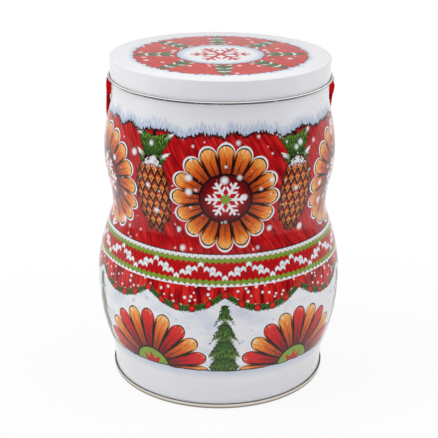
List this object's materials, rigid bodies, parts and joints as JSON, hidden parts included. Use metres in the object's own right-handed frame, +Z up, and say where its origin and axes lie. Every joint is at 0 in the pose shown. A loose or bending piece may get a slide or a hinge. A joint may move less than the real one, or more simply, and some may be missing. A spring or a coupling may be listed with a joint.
{
  "type": "biscuit tin",
  "caption": "Round tinplate storage tin with two swellings, a slip lid on a straight neck, a seamed base and a woven strap handle riveted at its sides.",
  "frame": {"origin": "on the tin's axis, in the plane that the base seam stands on", "axes": "+Z up along the tin's axis, -Y the front, the handle hangs down the back at +Y, its rivets on X"},
  "size_m": [0.1442, 0.1442, 0.1912],
  "materials": {
    "printed_body": "tinplate with a white coat, a printed winter pattern in red, orange and green, and gloss varnish",
    "printed_lid": "tinplate with a white coat, a printed red roundel and gloss varnish",
    "bare_tinplate": "bare tinplate, satin",
    "red_webbing": "woven polyester webbing, slight sheen",
    "rivet_metal": "nickel plated, semi-bright"
  },
  "bodies": {
    "tin": {"body_shell": "printed_body", "bottom_end": "bare_tinplate", "rivet_left": "rivet_metal", "rivet_right": "rivet_metal", "washer_left": "rivet_metal", "washer_right": "rivet_metal"},
    "lid": {"lid": "printed_lid"},
    "handle": {"handle_strap": "red_webbing"}
  },
  "joints": [
    {"name": "lid_lift", "type": "slide", "parent": "tin", "child": "lid", "axis": [0, 0, 1], "range_m": [0, 0.06]},
    {"name": "handle_swing", "type": "hinge", "parent": "tin", "child": "handle", "pos_m": [0, 0, 0.1737], "axis": [1, 0, 0], "range_deg": [0, 268]}
  ]
}
